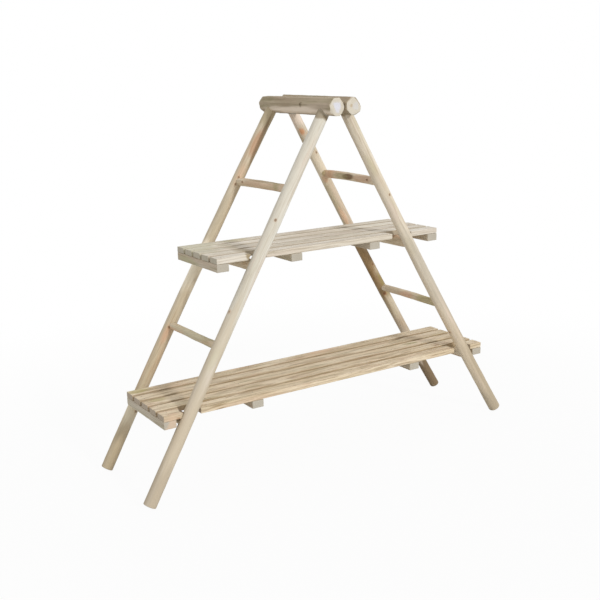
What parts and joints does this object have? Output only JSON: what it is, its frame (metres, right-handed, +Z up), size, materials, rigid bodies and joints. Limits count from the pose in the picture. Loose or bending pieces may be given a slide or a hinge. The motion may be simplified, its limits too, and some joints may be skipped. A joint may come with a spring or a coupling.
{
  "type": "plant ladder stand",
  "caption": "A-frame plant ladder stand: leaning pole ladders hinged under hewn ridge logs, slatted shelves resting on the rungs and notched round the front poles.",
  "frame": {"origin": "centre of the bounding box on the floor, under the feet", "axes": "+X along the shelves towards the right ladder, -Y the front with the notched slats, +Z up"},
  "size_m": [1.5149, 0.452, 1.2401],
  "materials": {
    "pole_wood": "peeled, untreated, pale with pink and olive patches",
    "rung_wood": "peeled, untreated, tan with bark remains",
    "log_wood": "rough-hewn, weathered khaki",
    "pale_slat_wood": "sawn, bleached cream",
    "tan_slat_wood": "sawn, tan with streaky grain",
    "cleat_wood": "sawn, tan",
    "zinc_steel": "zinc plated"
  },
  "bodies": {
    "left_ladder": {"left_front_pole": "pole_wood", "left_rear_pole": "pole_wood", "left_ridge_log": "log_wood", "left_upper_rung": "rung_wood", "left_middle_shelf_rung": "rung_wood", "left_lower_rung": "rung_wood", "left_bottom_shelf_rung": "rung_wood", "front_hinge_left_leaf": "zinc_steel", "rear_hinge_left_leaf": "zinc_steel", "front_hinge_pin": "zinc_steel", "rear_hinge_pin": "zinc_steel", "front_hinge_left_screw_1": "zinc_steel", "front_hinge_left_screw_2": "zinc_steel", "rear_hinge_left_screw_1": "zinc_steel", "rear_hinge_left_screw_2": "zinc_steel"},
    "right_ladder": {"right_front_pole": "pole_wood", "right_rear_pole": "pole_wood", "right_ridge_log": "log_wood", "right_upper_rung": "rung_wood", "right_middle_shelf_rung": "rung_wood", "right_lower_rung": "rung_wood", "right_bottom_shelf_rung": "rung_wood", "front_hinge_right_leaf": "zinc_steel", "rear_hinge_right_leaf": "zinc_steel", "front_hinge_right_screw_1": "zinc_steel", "front_hinge_right_screw_2": "zinc_steel", "rear_hinge_right_screw_1": "zinc_steel", "rear_hinge_right_screw_2": "zinc_steel"},
    "middle_shelf": {"middle_shelf_front_slat_left": "pale_slat_wood", "middle_shelf_front_slat_centre": "pale_slat_wood", "middle_shelf_front_slat_right": "pale_slat_wood", "middle_shelf_slat_2": "pale_slat_wood", "middle_shelf_slat_3": "pale_slat_wood", "middle_shelf_slat_4": "pale_slat_wood", "middle_shelf_slat_5": "pale_slat_wood", "middle_shelf_cleat_1": "cleat_wood", "middle_shelf_cleat_2": "cleat_wood", "middle_shelf_cleat_3": "cleat_wood", "middle_shelf_cleat_4": "cleat_wood"},
    "bottom_shelf": {"bottom_shelf_front_slat_left": "tan_slat_wood", "bottom_shelf_front_slat_centre": "tan_slat_wood", "bottom_shelf_front_slat_right": "tan_slat_wood", "bottom_shelf_slat_2": "tan_slat_wood", "bottom_shelf_slat_3": "tan_slat_wood", "bottom_shelf_slat_4": "tan_slat_wood", "bottom_shelf_slat_5": "tan_slat_wood", "bottom_shelf_cleat_1": "cleat_wood", "bottom_shelf_cleat_2": "cleat_wood", "bottom_shelf_cleat_3": "cleat_wood", "bottom_shelf_cleat_4": "cleat_wood"}
  },
  "joints": [
    {"name": "ladder_fold", "type": "hinge", "parent": "left_ladder", "child": "right_ladder", "pos_m": [0, 0.004, 1.17744], "axis": [0, 1, 0], "range_deg": [0, 0.6]},
    {"name": "middle_shelf_slide", "type": "slide", "parent": "left_ladder", "child": "middle_shelf", "axis": [0, 1, 0], "range_m": [-0.035, 0.026]},
    {"name": "bottom_shelf_slide", "type": "slide", "parent": "left_ladder", "child": "bottom_shelf", "axis": [0, 1, 0], "range_m": [-0.034, 0.034]}
  ]
}
